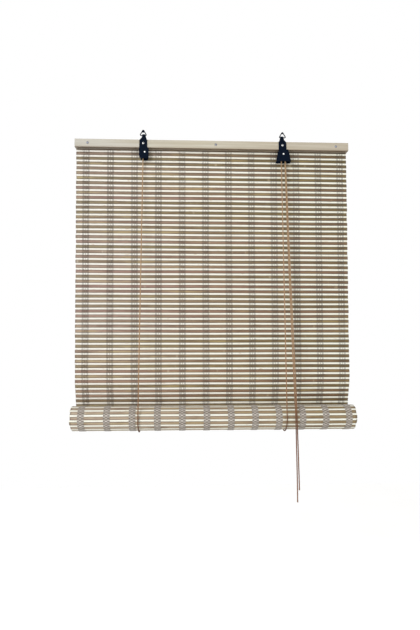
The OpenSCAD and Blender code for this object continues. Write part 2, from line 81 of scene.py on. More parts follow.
lens = bpy.data.cameras.new("camera")
lens.sensor_width = camera["sensor"]
lens.lens = camera["focal"] / camera["frameHeight"] * camera["sensor"]
lens.shift_x = camera["centre"][0] / camera["frameHeight"]
lens.shift_y = camera["centre"][1] / camera["frameHeight"]
lens.clip_end = camera["clipEnd"]
eye = addObject("camera", lens)
rightDownAhead = np.array([[1, 0, 0], [0, 0, -1], [0, 1, 0]]) @ turnMatrix(camera["turn"])
axes = np.eye(4)
axes[:3, 0], axes[:3, 1], axes[:3, 2] = rightDownAhead[0], -rightDownAhead[1], -rightDownAhead[2]
axes[:3, 3] = camera["place"]
eye.matrix_world = Matrix(axes.tolist())
bpy.context.scene.camera = eye
print("camera set")

# material helpers
noiseSpan = (0.3, 0.7)  # most of a noise lies between these
shiftStep = (41, 17, 29)  # how far a pattern moves for a shift of 1, so that no two slats share their grain


def tint(r, g, b):  # a colour as seen on screen, 0 to 255, to a linear one
    c = np.array([r, g, b]) / 255
    low = c <= 0.04045
    return tuple(np.where(low, c / 12.92, ((c + 0.055) / 1.055) ** 2.4)) + (1.0,)


def newMaterial(name):
    m = bpy.data.materials.new(name)
    m.use_nodes = True
    return m, m.node_tree, m.node_tree.nodes["Principled BSDF"]


def feed(tree, n, inputs):  # a node's inputs, linked or set
    for key, value in inputs.items():
        if isinstance(value, bpy.types.NodeSocket):
            tree.links.new(value, n.inputs[key])
        else:
            n.inputs[key].default_value = value


def put(tree, kind, inputs=(), **settings):  # a node with its settings and inputs
    n = tree.nodes.new("ShaderNode" + kind)
    for key, value in settings.items():
        setattr(n, key, value)
    feed(tree, n, dict(inputs))
    return n


def attribute(tree, name):
    return put(tree, "Attribute", attribute_name=name).outputs["Fac"]


def objectAxis(tree, axis):
    return put(tree, "SeparateXYZ", {0: put(tree, "TexCoord").outputs["Object"]}).outputs[axis]


def normalAxis(tree, axis):
    return put(tree, "SeparateXYZ", {0: put(tree, "NewGeometry").outputs["Normal"]}).outputs[axis]


def ranged(tree, value, low, high, top=1.0):  # 0 at low, rising to top at high
    return put(tree, "MapRange", {0: value, 1: low, 2: high, 3: 0.0, 4: top}).outputs[0]


def mixed(tree, fac, a, b, blend="MIX"):
    return put(tree, "Mix", {0: fac, 6: a, 7: b}, data_type="RGBA", blend_type=blend).outputs[2]


def ramp(tree, fac, stops):  # colour ramp from (place, colour) stops
    n = put(tree, "ValToRGB", {"Fac": fac})
    e = n.color_ramp.elements
    while len(e) < len(stops):
        e.new(0.5)
    for item, (at, colour) in zip(e, stops):
        item.position, item.color = at, colour
    return n.outputs["Color"]


def tones(tree, value, stops):  # ramp of (place, screen colour) stops
    return ramp(tree, value, [(at, tint(*colour)) for at, colour in stops])


def twoTone(tree, value, dark, light, span=noiseSpan):
    return tones(tree, value, ((span[0], dark), (span[1], light)))


def greys(tree, value, span, first, last):
    return ramp(tree, value, [(at, (g, g, g, 1)) for at, g in zip(span, (first, last))])


def mask(tree, value, low, high, top=1.0):  # black up to low, grey of level top from high on
    return greys(tree, value, (low, high), 0, top)


def shaded(tree, colour, value, stops):  # colour times a ramp of (place, red, green, blue) stops
    factor = ramp(tree, value, [(at, (r, g, b, 1)) for at, r, g, b in stops])
    return mixed(tree, 1.0, colour, factor, "MULTIPLY")


def stretched(tree, stretch, shift=None):  # object coordinates, stretched, and shifted by a value
    at = put(tree, "TexCoord").outputs["Object"]
    at = put(tree, "VectorMath", {0: at, 1: stretch}, operation="MULTIPLY").outputs[0]
    if shift is None:
        return at
    step = put(tree, "VectorMath", {0: shiftStep, "Scale": shift}, operation="SCALE").outputs[0]
    return put(tree, "VectorMath", {0: at, 1: step}, operation="ADD").outputs[0]


def streaks(tree, pattern, shift=None):  # noise on stretched coordinates: detail, roughness, distortion
    detail, rough, warp = pattern["noise"]
    return put(tree, "TexNoise", {"Vector": stretched(tree, pattern["stretch"], shift), "Scale": 1.0,
                                  "Detail": detail, "Roughness": rough, "Distortion": warp}).outputs["Fac"]


def spotted(tree, colour, spots, shift=None):  # a second colour where a noise is high
    where = mask(tree, streaks(tree, spots, shift), *spots["mask"])
    return mixed(tree, where, colour, tint(*spots["colour"]))


def rimShaded(tree, colour, finish):  # painted shade towards a slat's long edges, in the grooves between slats
    edge = mask(tree, attribute(tree, "rim"), *finish["rim"])
    return mixed(tree, edge, colour, tint(*finish["rimColour"]))


def finished(tree, shader, colour, roughness, height, bump):  # bump: strength and distance
    b = put(tree, "Bump", {"Height": height, "Strength": bump[0], "Distance": bump[1]})
    feed(tree, shader, {"Base Color": colour, "Roughness": roughness, "Normal": b.outputs["Normal"]})


def seenRays(tree):  # 1 for rays from the camera, straight, off metal or through glass
    path = put(tree, "LightPath")
    seen = path.outputs["Is Camera Ray"]
    for kind in ("Is Glossy Ray", "Is Transmission Ray"):
        seen = put(tree, "Math", {0: seen, 1: path.outputs[kind]}, operation="MAXIMUM").outputs[0]
    return seen


# mesh helpers
def circle(n):  # n angles, once round
    return np.linspace(0, 2 * np.pi, n, endpoint=False)


def unit(v):
    return v / np.linalg.norm(v, axis=-1, keepdims=True)


def runLength(path):  # how far along a path each of its points lies
    return np.concatenate([[0], np.cumsum(np.linalg.norm(np.diff(path, axis=0), axis=1))])


def boxMiddle(node, axis):
    low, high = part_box(node)
    return (low[axis] + high[axis]) / 2


def barFaces(count, rows, cols):  # quads from ring to ring round each bar, and a cap on both its ends
    i, j = np.meshgrid(np.arange(rows - 1), np.arange(cols), indexing="ij")
    k = (j + 1) % cols
    one = np.stack([i * cols + j, i * cols + k, (i + 1) * cols + k, (i + 1) * cols + j], -1).reshape(-1, 4)
    ends = np.stack([np.arange(cols)[::-1], (rows - 1) * cols + np.arange(cols)])
    start = (np.arange(count) * rows * cols)[:, None, None]
    return (one + start).reshape(-1, 4), (ends + start).reshape(-1, cols)


def faceOut(verts, quads):  # -1 where the quads look inwards: sum of normal times distance from the middle
    p = verts[quads] - verts[quads].mean((0, 1))
    n = np.cross(p[:, 2] - p[:, 0], p[:, 3] - p[:, 1])
    return 1 if (n * p.mean(1)).sum() > 0 else -1


def addPiece(name, verts, faces, materials, slotName, body=None, nodes=(), sharp=40):
    mesh = bpy.data.meshes.new(name)
    mesh.from_pydata(verts.tolist(), [], faces)
    mesh.polygons.foreach_set("use_smooth", np.ones(len(mesh.polygons), bool))
    mesh.set_sharp_from_angle(angle=math.radians(sharp))
    for m in materials:
        mesh.materials.append(m)
    obj = addObject(name, mesh)
    if nodes:
        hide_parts(*nodes)
    if body:
        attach(obj, body)
    return obj


def addBars(name, rings, materials, slotName, **more):  # rings: bars, rings, corners, xyz
    count, rows, cols = rings.shape[:3]
    quads, caps = barFaces(count, rows, cols)
    verts = rings.reshape(-1, 3)
    if faceOut(verts, quads[:(rows - 1) * cols]) < 0:
        quads, caps = quads[:, ::-1], caps[:, ::-1]
    return addPiece(name, verts, quads.tolist() + caps.tolist(), materials, slotName, **more)


def pointValue(obj, name, values):
    a = obj.data.attributes.new(name, "FLOAT", "POINT")
    a.data.foreach_set("value", np.ascontiguousarray(values, np.float32).ravel())


def sweep(path, side, angle, r):  # rings square to a path: radius r, by row and angle, round each point
    along = unit(np.gradient(path, axis=0))
    a = unit(np.cross(along, side))
    b = np.cross(along, a)
    outward = np.cos(angle)[..., None] * a[:, None] + np.sin(angle)[..., None] * b[:, None]
    return path[:, None] + r[..., None] * outward


def smoothRoute(points, step):  # cubic curve through points, its slope at each from its two neighbours
    p = np.array(points, float)
    t = runLength(p)
    slope = np.gradient(p, t, axis=0)
    at = np.linspace(0, t[-1], max(2, int(t[-1] / step)))
    i = np.clip(np.searchsorted(t, at) - 1, 0, len(t) - 2)
    h = (t[i + 1] - t[i])[:, None]
    u = ((at - t[i]) / h[:, 0])[:, None]
    return ((2 * u ** 3 - 3 * u ** 2 + 1) * p[i] + (u ** 3 - 2 * u ** 2 + u) * h * slope[i]
            + (3 * u ** 2 - 2 * u ** 3) * p[i + 1] + (u ** 3 - u ** 2) * h * slope[i + 1])


def shorten(obj):  # gives the piece a mesh of its own
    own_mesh(obj)


# the mat, the roll and the sizes that they share, in metres
mat = dict(creamHeight=0.0045, tanHeight=0.0065, creamThick=0.0022, tanThick=0.0017, yarn=0.0006,
           fit=0.00005, tuck=0.0054, swayHeight=0.096, swayShare=0.55, rideHeight=0.068, rollRadius=0.028,
           turnPitch=0.0028, rodRadius=0.007, rodSeat=0.0004, least=1e-9, seed=11)
railLow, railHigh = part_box("front_batten")
matLeft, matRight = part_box("slat_mat")[0][0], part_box("slat_mat")[1][0]
matWidth = matRight - matLeft
rollY, rollZ = joints["roll_turn"]["pos_m"][1:]
railBottom = railLow[2]
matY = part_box("back_batten")[0][1] - mat["fit"] - mat["yarn"] - mat["creamThick"] / 2
rollMid = mat["rollRadius"] - mat["creamThick"] / 2
swayAngle = 2 * math.atan((rollY + rollMid - matY) / mat["swayHeight"])
backRadius = mat["swayShare"] * mat["swayHeight"] / math.sin(swayAngle)
downRadius = (1 - mat["swayShare"]) * mat["swayHeight"] / math.sin(swayAngle)
straight = railBottom - rollZ - mat["swayHeight"]
matLength = mat["tuck"] + straight + (backRadius + downRadius) * swayAngle
turnGain = mat["turnPitch"] / (2 * math.pi)
pairCount = round(matLength / (mat["creamHeight"] + mat["tanHeight"]))
tanShare = mat["tanHeight"] / (mat["creamHeight"] + mat["tanHeight"])
pair = matLength / (pairCount + tanShare)  # the hanging part ends with a tan slat
tanPart = pair * tanShare
runPairs = int((mat["tuck"] + railBottom - rollZ - mat["rideHeight"]) / pair)
innerMid = mat["rodRadius"] + mat["creamThick"] / 2 + mat["rodSeat"]
rolledPairs = int((rollMid ** 2 - innerMid ** 2) / (2 * turnGain) / pair)
rng = np.random.default_rng(mat["seed"])


def hangingMat(s, off):  # straight down from the headrail, then one arc backwards and one down again
    s = s - mat["tuck"]
    a = np.clip((s - straight) / backRadius, 0, swayAngle)
    b = np.maximum(0, s - straight - backRadius * swayAngle) / downRadius
    y = matY + backRadius * (1 - np.cos(a)) + downRadius * (np.cos(swayAngle - b) - math.cos(swayAngle))
    z = (railBottom - np.minimum(s, straight) - backRadius * np.sin(a)
         - downRadius * (math.sin(swayAngle) - np.sin(swayAngle - b)))
    return y - off * np.cos(a - b), z - off * np.sin(a - b)


def woundMat(s, off):  # a spiral whose radius falls by the same amount each turn, begun with a cream slat
    square = np.maximum(mat["least"], rollMid ** 2 - 2 * turnGain * (s - tanPart))
    turn = (rollMid - np.sqrt(square)) / turnGain
    r = rollMid - turnGain * turn + off
    return rollY + r * np.cos(turn), rollZ - r * np.sin(turn)


def slatStart(i):  # a pair is a tan slat and then a cream one
    return np.floor(i / 2) * pair + (i % 2) * tanPart


# slats: tan ones are flat with round edges, cream ones nearly half round
slats = dict(corners=12, stations=26, tanRound=0.42, creamRound=0.72, overlap=1.02, thickness=(0.94, 1.04),
             waves=((1.0, 9, 35, 0.0), (0.6, 24, -28, 1.3)),  # share, rates along x and s, phase
             waveHeight=0.00022, waveFade=0.03,
             bow=0.00010, bowTurns=(0.6, 1.8), tilt=0.00012, endJitter=0.0011,
             rollSpread=0.0022, rollPale=0.8)
creamFinish = dict(
    grain=dict(stretch=(7, 900, 900), noise=(5, 0.65, 0.3)),
    tones=((0.25, (232, 226, 203)), (0.5, (249, 249, 235)), (0.75, (254, 255, 247))),
    fleck=dict(stretch=(60, 300, 300), noise=(2, 0.5, 0.0), mask=(0.66, 0.74, 0.6), colour=(206, 184, 150)),
    # rim and rimColour: painted shade along the slats' long edges
    rim=(0.65, 1.0, 0.7), rimColour=(176, 158, 132),
    fromLeft=((0.0, 0.93, 0.905, 0.95), (0.35, 1, 0.975, 1), (0.8, 1, 1, 1)),
    roughness=0.5, bump=(0.35, 0.0002))
tanFinish = dict(
    grain=dict(stretch=(5, 1100, 1100), noise=(6, 0.68, 0.4)), grainMask=(0.32, 0.66),
    dark=((0.0, (102, 89, 60)), (0.5, (124, 102, 82)), (1.0, (118, 86, 72))),
    light=((0.0, (164, 149, 108)), (0.5, (180, 158, 134)), (1.0, (186, 154, 136))),
    fromTop=((0.0, 0.76, 0.77, 0.73), (0.35, 1, 1, 1), (0.62, 1, 1, 1), (0.85, 0.98, 0.95, 0.84)),
    rolled=((166, 145, 120), (210, 192, 166)),
    spots=(dict(stretch=(14, 60, 60), noise=(3, 0.6, 0.0), mask=(0.5, 0.68, 0.6), colour=(112, 88, 66)),
           dict(stretch=(9, 90, 90), noise=(3, 0.6, 0.0), mask=(0.55, 0.7, 0.6), colour=(194, 175, 124)),
           dict(stretch=(70, 9, 9), noise=(1, 0.4, 0.0), mask=(0.73, 0.77, 0.5), colour=(206, 192, 168))),
    fromLeft=((0.0, 0.97, 0.98, 1.07), (0.5, 0.80, 0.755, 0.685), (1.0, 0.57, 0.52, 0.38)),
    # rim and rimColour: painted shade along the slats' long edges
    cutLength=0.004, cutShare=0.6, cutColour=(78, 64, 54), rim=(0.5, 1.0, 0.85), rimColour=(76, 60, 48),
    roughness=0.55, bump=(0.4, 0.0002))

creamWood, tree, shader = newMaterial("creamSlat")
tone = attribute(tree, "tone")
grain = streaks(tree, creamFinish["grain"], tone)
colour = spotted(tree, tones(tree, grain, creamFinish["tones"]), creamFinish["fleck"], tone)
colour = rimShaded(tree, colour, creamFinish)
fromLeft = ranged(tree, objectAxis(tree, "X"), matLeft, matRight)
greyed = shaded(tree, colour, fromLeft, creamFinish["fromLeft"])
colour = mixed(tree, attribute(tree, "pale"), greyed, colour)  # the roll is hardly greyed
finished(tree, shader, colour, creamFinish["roughness"], grain, creamFinish["bump"])

tanWood, tree, shader = newMaterial("tanSlat")
tone = attribute(tree, "tone")
grain = streaks(tree, tanFinish["grain"], tone)
dark, light = tones(tree, tone, tanFinish["dark"]), tones(tree, tone, tanFinish["light"])
colour = mixed(tree, mask(tree, grain, *tanFinish["grainMask"]), dark, light)
# painted shade: darker just under the headrail and browner just above the roll
fromTop = ranged(tree, objectAxis(tree, "Z"), railBottom, rollZ)
colour = shaded(tree, colour, fromTop, tanFinish["fromTop"])
colour = mixed(tree, attribute(tree, "pale"), colour, twoTone(tree, grain, *tanFinish["rolled"]))
for spots in tanFinish["spots"]:  # dark patches, yellow ones and pale nodes
    colour = spotted(tree, colour, spots, tone)
across = objectAxis(tree, "X")
# painted shade: the tan grows darker and browner towards the right
colour = shaded(tree, colour, ranged(tree, across, matLeft, matRight), tanFinish["fromLeft"])
fromMiddle = put(tree, "Math", {0: across, 1: -(matLeft + matRight) / 2}, operation="ADD").outputs[0]
fromMiddle = put(tree, "Math", {0: fromMiddle}, operation="ABSOLUTE").outputs[0]
cutEnd = ranged(tree, fromMiddle, matWidth / 2 - tanFinish["cutLength"], matWidth / 2, tanFinish["cutShare"])
colour = mixed(tree, cutEnd, colour, tint(*tanFinish["cutColour"]))
colour = rimShaded(tree, colour, tanFinish)
finished(tree, shader, colour, tanFinish["roughness"], grain, tanFinish["bump"])


def slatBars(name, first, last, place, pale=0.0, spread=0.0, **more):
    # bars side by side along s: a rounded oblong profile, waving a little, carried along the width
    i = np.arange(first, last)
    isTan = i % 2 == 0
    low, high = slatStart(i), slatStart(i + 1)
    half = (high - low) / 2 * slats["overlap"]
    thick = np.where(isTan, mat["tanThick"], mat["creamThick"]) / 2
    thick = thick * rng.uniform(*slats["thickness"], len(i))
    power = np.where(isTan, slats["tanRound"], slats["creamRound"])[:, None]
    angle = circle(slats["corners"])
    across = np.sign(np.cos(angle)) * np.abs(np.cos(angle)) ** power
    out = np.sign(np.sin(angle)) * np.abs(np.sin(angle)) ** power
    t = np.linspace(0, 1, slats["stations"])
    left = matLeft + rng.uniform(-spread, slats["endJitter"], len(i))
    right = matRight - rng.uniform(-spread, slats["endJitter"], len(i))
    x = left[:, None] + t * (right - left)[:, None]
    mid = ((low + high) / 2)[:, None]
    wave = sum(share * np.sin(byX * x + byS * mid + phase) for share, byX, byS, phase in slats["waves"])
    wave = slats["waveHeight"] * wave * np.clip(mid / slats["waveFade"], 0, 1)
    turns, phase = rng.uniform(*slats["bowTurns"], len(i)), rng.uniform(0, 1, len(i))
    bow = slats["bow"] * np.sin(2 * np.pi * (t * turns[:, None] + phase[:, None]))
    lean = rng.normal(0, slats["tilt"], len(i))
    s = (mid + wave)[:, :, None] + half[:, None, None] * across[:, None, :]
    off = bow[:, :, None] + thick[:, None, None] * out[:, None, :] + lean[:, None, None] * across[:, None, :]
    y, z = place(s, off)
    rings = np.stack([np.broadcast_to(x[:, :, None], y.shape), y, z], -1)
    obj = addBars(name, rings, [tanWood, creamWood], "slat_wood", **more)
    perBar = (slats["stations"] - 1) * slats["corners"]
    kind = np.concatenate([np.repeat(~isTan, perBar), np.repeat(~isTan, 2)])
    obj.data.polygons.foreach_set("material_index", kind.astype(np.int32))
    pointValue(obj, "tone", np.broadcast_to(rng.uniform(0, 1, len(i))[:, None, None], y.shape))
    pointValue(obj, "pale", np.full(y.shape, pale))
    pointValue(obj, "rim", np.broadcast_to(np.abs(across)[:, None, :], y.shape))
    return obj


matRun = slatBars("matRun", 0, 2 * runPairs, hangingMat, body="headrail", nodes=["slat_mat"])
shorten(matRun)
slatBars("matBend", 2 * runPairs, 2 * pairCount + 1, hangingMat, body="slings")
slatBars("rolledSlats", 1, 2 * rolledPairs + 1, woundMat, slats["rollPale"], slats["rollSpread"],
         body="roll", nodes=["rolled_mat"])
print("slats:", 2 * pairCount + 1, "hanging,", 2 * rolledPairs, "rolled")

# yarn bands: thin threads on the front, close strands on the back, which is the outside of the roll
bands = dict(count=12, width=0.0136, firstInset=0.022, lastInset=0.016, lean=0.006)
k = np.arange(bands["count"])
bandMid = (matLeft + bands["firstInset"] + bands["lean"] * (1 - (2 * k / (bands["count"] - 1) - 1) ** 2)
           + k * (matWidth - bands["firstInset"] - bands["lastInset"]) / (bands["count"] - 1))
threads = dict(count=7, radius=0.00032, sides=4, creamSink=0.8, zigzag=0.00018, stray=0.00008,
               runDives=(2, 4), bendDives=(3,), tanAt=(0.06, 0.5, 0.94), creamAt=(0.25, 0.75))
strands = dict(count=6, ridge=0.00022, weave=0.00014, follow=0.35, press=0.72, footSink=0.0003,
               footHalf=0.47, sway=0.0002, swayRate=90, jointWidth=0.0009,
               tanAt=(0.02, 0.5, 0.98), creamAt=(0.5,), rollStart=0.003, rollTurn=0.92, rollSteps=16)
flatWeave = dict(step=0.25, contrast=0.22, groove=0.4, joint=0.85, group=1)
rollWeave = dict(step=0.5, contrast=1.0, groove=0.0, joint=0.5, group=2)
yarnFinish = dict(
    fibre=dict(stretch=(2600, 2600, 1400), noise=(3, 0.7, 0.0)), dark=(218, 211, 201), light=(250, 244, 236),
    spots=(dict(stretch=(40, 60, 60), noise=(2, 0.5, 0.0), mask=(0.4, 0.7, 0.3), colour=(176, 165, 154)),
           dict(stretch=(420, 330, 330), noise=(2, 0.6, 0.0), mask=(0.42, 0.58, 0.3),
                colour=(134, 125, 115))),
    tanShare=0.55, tanColour=(162, 149, 131), valleyColour=(112, 103, 95),
    roughness=0.9, sheen=0.15, bump=(0.5, 0.0003))
threadFinish = dict(
    fibre=dict(stretch=(1800, 1800, 900), noise=(3, 0.7, 0.0)), overTan=((84, 75, 67), (126, 116, 106)),
    overCream=((100, 96, 92), (140, 135, 130)), roughness=0.9, bump=(0.5, 0.0002))

yarn, tree, shader = newMaterial("yarn")
fibre = streaks(tree, yarnFinish["fibre"])
colour = twoTone(tree, fibre, yarnFinish["dark"], yarnFinish["light"])
for spots in yarnFinish["spots"]:
    colour = spotted(tree, colour, spots)
onTan = attribute(tree, "onTan")
overTan = put(tree, "Math", {0: onTan, 1: yarnFinish["tanShare"]}, operation="MULTIPLY").outputs[0]
colour = mixed(tree, overTan, colour, tint(*yarnFinish["tanColour"]))
# painted shade from the valley attribute, in the grooves of the yarn
colour = mixed(tree, attribute(tree, "valley"), colour, tint(*yarnFinish["valleyColour"]))
finished(tree, shader, colour, yarnFinish["roughness"], fibre, yarnFinish["bump"])
shader.inputs["Sheen Weight"].default_value = yarnFinish["sheen"]

thread, tree, shader = newMaterial("thread")
fibre = streaks(tree, threadFinish["fibre"])
overTan = twoTone(tree, fibre, *threadFinish["overTan"])
overCream = twoTone(tree, fibre, *threadFinish["overCream"])
colour = mixed(tree, attribute(tree, "onTan"), overCream, overTan)
finished(tree, shader, colour, threadFinish["roughness"], fibre, threadFinish["bump"])


def pairStations(first, last, tanAt, creamAt):  # places along s in each pair, on its tan and its cream slat
    inPair = np.concatenate([np.array(tanAt) * tanPart, tanPart + np.array(creamAt) * (pair - tanPart)])
    s = (np.arange(first, last)[:, None] * pair + inPair).ravel()
    onTan = np.tile(np.arange(len(inPair)) < len(tanAt), last - first)
    return s[s < matLength], onTan[s < matLength]


def threadBars(name, first, last, diving, **more):
    # threads side by side: all lie over the tan slats, and some dive behind the cream ones
    s, onTan = pairStations(first, last, threads["tanAt"], threads["creamAt"])
    n, r = threads["count"], threads["radius"]
    dive = np.isin(np.arange(n), diving)
    over = np.where(onTan, mat["tanThick"] / 2 + r, mat["creamThick"] / 2 + threads["creamSink"] * r)
    off = np.where(dive[:, None] & ~onTan, -over, over)
    x = np.linspace(-1, 1, n) * (bands["width"] / 2 - r)
    x = x[:, None] + threads["zigzag"] * np.where(onTan, 1, -1) * np.where(dive, 1, -1)[:, None]
    x = bandMid[:, None, None] + x + rng.normal(0, threads["stray"], (bands["count"],) + x.shape)
    off = np.broadcast_to(off, x.shape).reshape(-1, len(s))
    x = x.reshape(-1, len(s))
    angle = circle(threads["sides"])
    y, z = hangingMat(s[None, :, None], off[:, :, None] + r * np.sin(angle))
    rings = np.stack(np.broadcast_arrays(x[:, :, None] + r * np.cos(angle), y, z), -1)
    obj = addBars(name, rings, [thread], "yarn", sharp=180, **more)
    pointValue(obj, "onTan", np.broadcast_to(onTan[None, :, None], rings.shape[:3]))
    return obj


frontRun = threadBars("frontThreads", 0, runPairs, threads["runDives"],
                      body="headrail", nodes=["front_yarns"])
shorten(frontRun)
threadBars("frontThreadsBend", runPairs, pairCount + 1, threads["bendDives"], body="slings")


def strandRibbon(name, s, place, side, weave, **more):
    # one ribbon per band: ridges across it for the strands, which rise and fall along s, group by group
    n = strands["count"]
    t = np.linspace(0, 1, 2 * n + 1)
    ridge = np.where(np.arange(2 * n + 1) % 2 == 1, 1.0, 0.0)
    group = np.minimum((t * n).astype(int), n - 1) // weave["group"]
    inPair = (s % pair)[:, None]
    under = np.where(inPair < tanPart, mat["tanThick"], mat["creamThick"]) / 2
    level = strands["follow"] * under + (1 - strands["follow"]) * mat["creamThick"] / 2
    rise = np.cos(2 * np.pi * s / (pair * weave["step"]))[:, None] * np.where(group % 2 == 0, 1, -1)
    top = level + mat["yarn"] * strands["press"] + strands["ridge"] * ridge + strands["weave"] * rise * ridge
    foot = np.full((len(s), 2), mat["creamThick"] / 2 - strands["footSink"])
    off = np.concatenate([top, foot], 1) * side
    x = np.concatenate([t - 0.5, [strands["footHalf"], -strands["footHalf"]]]) * bands["width"]
    x = bandMid[:, None, None] + x + strands["sway"] * np.sin(s * strands["swayRate"])[:, None]
    y, z = place(s[:, None], off)
    rings = np.stack(np.broadcast_arrays(x, y, z), -1)
    obj = addBars(name, rings, [yarn], "yarn", sharp=60, **more)
    # painted shade: dark in the grooves, where a strand dips and at the joints between slats
    shade = np.tile(np.concatenate([1 - ridge, [1, 1]]) * weave["groove"], (len(s), 1))
    shade[:, :2 * n + 1] = np.maximum(shade[:, :2 * n + 1], (0.5 - 0.5 * rise) * weave["contrast"])
    toJoint = np.minimum(np.minimum(inPair, pair - inPair), np.abs(inPair - tanPart))
    shade = np.maximum(shade, weave["joint"] * np.exp(-(toJoint / strands["jointWidth"]) ** 2))
    pointValue(obj, "valley", np.broadcast_to(shade, x.shape))
    pointValue(obj, "onTan", np.broadcast_to(inPair < tanPart, x.shape))
    return obj


s = pairStations(0, runPairs, strands["tanAt"], strands["creamAt"])[0]
backRun = strandRibbon("backBands", s, hangingMat, -1, flatWeave, body="headrail", nodes=["back_yarns"])
shorten(backRun)
s = pairStations(runPairs, pairCount + 1, strands["tanAt"], strands["creamAt"])[0]
strandRibbon("backBandsBend", s, hangingMat, -1, flatWeave, body="slings")
turnLength = 2 * math.pi * (rollMid - mat["turnPitch"]) * strands["rollTurn"]
s = np.arange(tanPart + strands["rollStart"], tanPart + turnLength, pair / strands["rollSteps"])
strandRibbon("rollBands", s, woundMat, 1, rollWeave, body="roll", nodes=["roll_yarns"])
print("yarn bands:", bands["count"])

# cords: three twisted strands
cords = dict(diameter=0.0022, swell=1.22, guidedSwell=1.06, twist=0.0085, step=0.0009, lobe=0.2, corners=9,
             grooveShade=0.75, frayOpen=0.22, frayLength=0.006, wrapRadius=0.0042, wrapSteps=16, gap=0.0003,
             slope=50, grooveDepth=0.0036, slingGap=0.0005)
knots = dict(radius=0.0021, scale=0.00052, cordRadius=0.0008, depth=1.1, points=120, sides=8, shade=0.25,
             side=(0.3, 1.0, 0.2))
cordFinish = dict(
    fibre=dict(stretch=(1500, 1500, 700), noise=(4, 0.7, 0.0)), dark=(186, 152, 112), light=(230, 198, 156),
    blotch=dict(stretch=(25, 25, 25), noise=(2, 0.5, 0.0), mask=(0.45, 0.7, 0.4), colour=(198, 152, 118)),
    valleyColour=(150, 108, 78), stainTop=-0.05, stainEnd=-0.80,
    stain=((0.0, 0.82, 0.86, 0.86), (0.36, 0.81, 0.82, 0.81), (0.46, 0.84, 0.84, 0.84),
           (0.62, 0.76, 0.71, 0.68), (0.71, 0.62, 0.53, 0.45), (0.75, 0.46, 0.36, 0.28),
           (0.80, 0.27, 0.165, 0.115), (0.83, 0.35, 0.18, 0.105), (1.0, 0.43, 0.26, 0.16)),
    roughness=0.85, sheen=0.2, bump=(0.6, 0.0003))
cordRadius = cords["diameter"] / 2

cordYarn, tree, shader = newMaterial("cordYarn")
fibre = streaks(tree, cordFinish["fibre"])
colour = twoTone(tree, fibre, cordFinish["dark"], cordFinish["light"])
colour = spotted(tree, colour, cordFinish["blotch"])
# painted shade in the hollows between the cord's lobes
colour = mixed(tree, attribute(tree, "valley"), colour, tint(*cordFinish["valleyColour"]))
down = ranged(tree, objectAxis(tree, "Z"), cordFinish["stainTop"], cordFinish["stainEnd"])
colour = shaded(tree, colour, down, cordFinish["stain"])  # painted shade: darker lower down, darkest round the bottom of the roll
finished(tree, shader, colour, cordFinish["roughness"], fibre, cordFinish["bump"])
shader.inputs["Sheen Weight"].default_value = cordFinish["sheen"]


def cordTube(name, path, side, frayed=False, swell=cords["swell"], **more):
    # three lobes that turn as they go along the path; a frayed end opens out a little
    length = runLength(path)[:, None]
    corner = circle(cords["corners"])
    hollow = 0.5 - 0.5 * np.cos(3 * corner)
    angle = corner + 2 * np.pi * length / cords["twist"]
    r = cordRadius * (swell - cords["lobe"] * hollow) * np.ones(angle.shape)
    if frayed:
        r = r * (1 + cords["frayOpen"] * np.clip(1 - (length[-1] - length) / cords["frayLength"], 0, 1))
    rings = sweep(path, np.array(side, float), angle, r)
    obj = addBars(name, rings[None], [cordYarn], "cord", sharp=180, **more)
    pointValue(obj, "valley", np.broadcast_to(hollow, angle.shape) * cords["grooveShade"])
    return obj


def line(a, b):  # points from a to b, a step apart
    a, b = np.array(a, float), np.array(b, float)
    n = max(2, int(np.linalg.norm(b - a) / cords["step"]))
    return a + np.linspace(0, 1, n)[:, None] * (b - a)


# where the cords run: the grooves of the pulleys, the roll's surface and the back of the headrail
leftWheelX, axleZ = joints["left_pulley_turn"]["pos_m"][0], joints["left_pulley_turn"]["pos_m"][2]
rightWheelX = joints["right_pulley_turn"]["pos_m"][0]
rearGroove, frontGroove = boxMiddle("cross_cord", 1), boxMiddle("right_cord_wrap", 1)
slingRadius = mat["rollRadius"] + cords["slingGap"] + cordRadius
leftSlingX, rightSlingX = boxMiddle("left_cord_sling", 0), boxMiddle("right_cord_sling", 0)
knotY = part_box("left_cord_back")[1][1] - knots["radius"]
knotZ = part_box("left_cord_back")[1][2] - knots["radius"]


def touchAngle(y, z, sign):  # where a line from a point touches the circle that the slings follow
    dy, dz = y - rollY, z - rollZ
    return math.atan2(dz, dy) + sign * math.acos(slingRadius / math.hypot(dy, dz))


def onSling(x, angle):  # points on that circle, seen along the roll
    angle = np.asarray(angle, float)
    y, z = rollY + slingRadius * np.cos(angle), rollZ + slingRadius * np.sin(angle)
    return np.stack([np.full(angle.shape, x), y, z], -1)


def onWheel(x, y, degrees):  # points round a pulley's groove
    a = np.radians(degrees)
    alongX, alongZ = cords["wrapRadius"] * np.cos(a), cords["wrapRadius"] * np.sin(a)
    return np.stack([x + alongX, np.full(a.shape, y), axleZ + alongZ], -1)


def addKnot(name, middle):  # a closed three-fold knot: sines of one, two and three times the turn
    t = np.linspace(0, 2 * math.pi, knots["points"])
    y = knots["depth"] * np.sin(3 * t)
    loop = np.stack([np.sin(t) + 2 * np.sin(2 * t), y, np.cos(t) - 2 * np.cos(2 * t)], -1)
    angle = circle(knots["sides"]) * np.ones((len(t), 1))
    r = np.full(angle.shape, knots["cordRadius"])
    rings = sweep(np.array(middle) + loop * knots["scale"], np.array(knots["side"]), angle, r)
    obj = addBars(name, rings[None], [cordYarn], "cord", sharp=180, body="headrail")
    pointValue(obj, "valley", np.full(angle.size, knots["shade"]))


